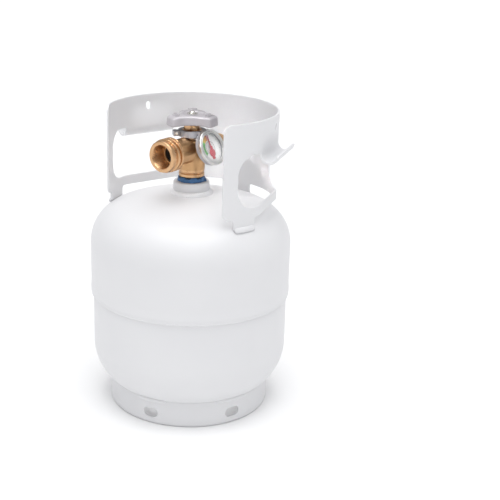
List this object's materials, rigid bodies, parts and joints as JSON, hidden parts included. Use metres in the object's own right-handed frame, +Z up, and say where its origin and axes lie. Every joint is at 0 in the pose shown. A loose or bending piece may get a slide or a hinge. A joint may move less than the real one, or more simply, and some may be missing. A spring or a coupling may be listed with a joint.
{
  "type": "propane tank",
  "caption": "Small white steel LP gas cylinder with a foot ring, a C-shaped carrying collar and a brass valve with handwheel, dial gauge, threaded outlet and relief valve.",
  "frame": {"origin": "on the cylinder's axis, on the floor that the foot ring stands on", "axes": "+Z up along the cylinder, the valve outlet points along -Y, the gauge towards +X and 25 degrees up, the relief valve along +Y"},
  "size_m": [0.205, 0.205, 0.3076],
  "materials": {
    "tank_paint": "satin white powder coat over deep-drawn steel",
    "weld_paint": "white powder coat over weld metal",
    "valve_brass": "hot-forged brass, shot-blasted, with turned threads",
    "stem_brass": "turned brass",
    "stop_brass": "die-cast and machined brass",
    "blue_sealant": "dark blue thread sealant ring",
    "black_rubber": "nitrile",
    "nylon": "natural nylon",
    "grey_zinc": "lilac-grey enamel over die-cast zinc",
    "plated_steel": "zinc-plated steel",
    "bezel_chrome": "plated ring",
    "lens_clear": "clear polycarbonate",
    "dial_white": "white printed aluminium",
    "needle_red": "red lacquer",
    "spring_steel": "stainless spring wire",
    "float_foam": "closed-cell nitrile foam"
  },
  "bodies": {
    "tank": {"upper_shell": "tank_paint", "lower_shell": "tank_paint", "girth_weld": "weld_paint", "foot_ring": "tank_paint", "foot_welds": "weld_paint", "collar": "tank_paint", "collar_welds": "weld_paint", "valve_boss": "tank_paint", "boss_weld": "weld_paint", "valve_body": "valve_brass", "thread_seal_ring": "blue_sealant", "bonnet_nut": "valve_brass", "stem_seals": "black_rubber", "gauge_case": "grey_zinc", "gauge_bezel": "bezel_chrome", "gauge_lens": "lens_clear", "gauge_dial": "dial_white", "bourdon_tube": "stem_brass", "gauge_stem": "stem_brass", "gauge_bracket": "grey_zinc", "clamp_screw": "plated_steel", "check_retainer": "stem_brass", "outlet_seal": "black_rubber", "check_spring": "spring_steel", "relief_body": "valve_brass", "relief_spring": "spring_steel", "relief_cap": "valve_brass", "dip_tube": "stem_brass", "stop_body": "stop_brass", "pivot_pin": "plated_steel"},
    "wheel": {"handwheel": "grey_zinc", "wheel_washer": "plated_steel", "wheel_screw": "plated_steel", "stem": "stem_brass"},
    "spindle": {"lower_spindle": "stem_brass", "seat_disc": "nylon"},
    "check": {"check_poppet": "stem_brass"},
    "relief": {"relief_poppet": "stem_brass", "relief_disc": "black_rubber"},
    "bleeder": {"bleeder_screw": "stem_brass"},
    "float": {"float_arm": "stop_brass", "float_block": "float_foam"},
    "piston": {"stop_piston": "stop_brass", "piston_seal": "black_rubber"},
    "pointer": {"gauge_needle": "needle_red", "gauge_arbor": "stem_brass"}
  },
  "joints": [
    {"name": "wheel_turn", "type": "hinge", "parent": "tank", "child": "wheel", "pos_m": [0, 0, 0.28647], "axis": [0, 0, 1], "range_deg": [0, 540]},
    {"name": "spindle_lift", "type": "slide", "parent": "wheel", "child": "spindle", "axis": [0, 0, 1], "range_m": [0, 0.0024]},
    {"name": "check_push", "type": "slide", "parent": "tank", "child": "check", "axis": [0, 1, 0], "range_m": [0, 0.003], "stiffness_N_per_m": 300, "springref_m": -0.004, "deforming": ["check_spring"]},
    {"name": "relief_lift", "type": "slide", "parent": "tank", "child": "relief", "axis": [0, 1, 0], "range_m": [0, 0.002], "stiffness_N_per_m": 6000, "springref_m": -0.012, "deforming": ["relief_spring"]},
    {"name": "bleeder_turn", "type": "hinge", "parent": "tank", "child": "bleeder", "pos_m": [-0.016, 0, 0.26687], "axis": [-1, 0, 0], "range_deg": [0, 360]},
    {"name": "float_swing", "type": "hinge", "parent": "tank", "child": "float", "pos_m": [0.008, 0, 0.17337], "axis": [0, -1, 0], "range_deg": [0, 38]},
    {"name": "piston_drop", "type": "slide", "parent": "tank", "child": "piston", "axis": [0, 0, -1], "range_m": [0, 0.004]},
    {"name": "pointer_turn", "type": "hinge", "parent": "tank", "child": "pointer", "pos_m": [0.0232, 0, 0.27119], "axis": [0.9063, 0, 0.4226], "range_deg": [-40, 130]}
  ],
  "couplings": [
    {"joint": "spindle_lift", "follows": "wheel_turn", "m_per_rad": 0.00025464},
    {"joint": "piston_drop", "follows": "float_swing", "m_per_rad": 0.006031}
  ]
}
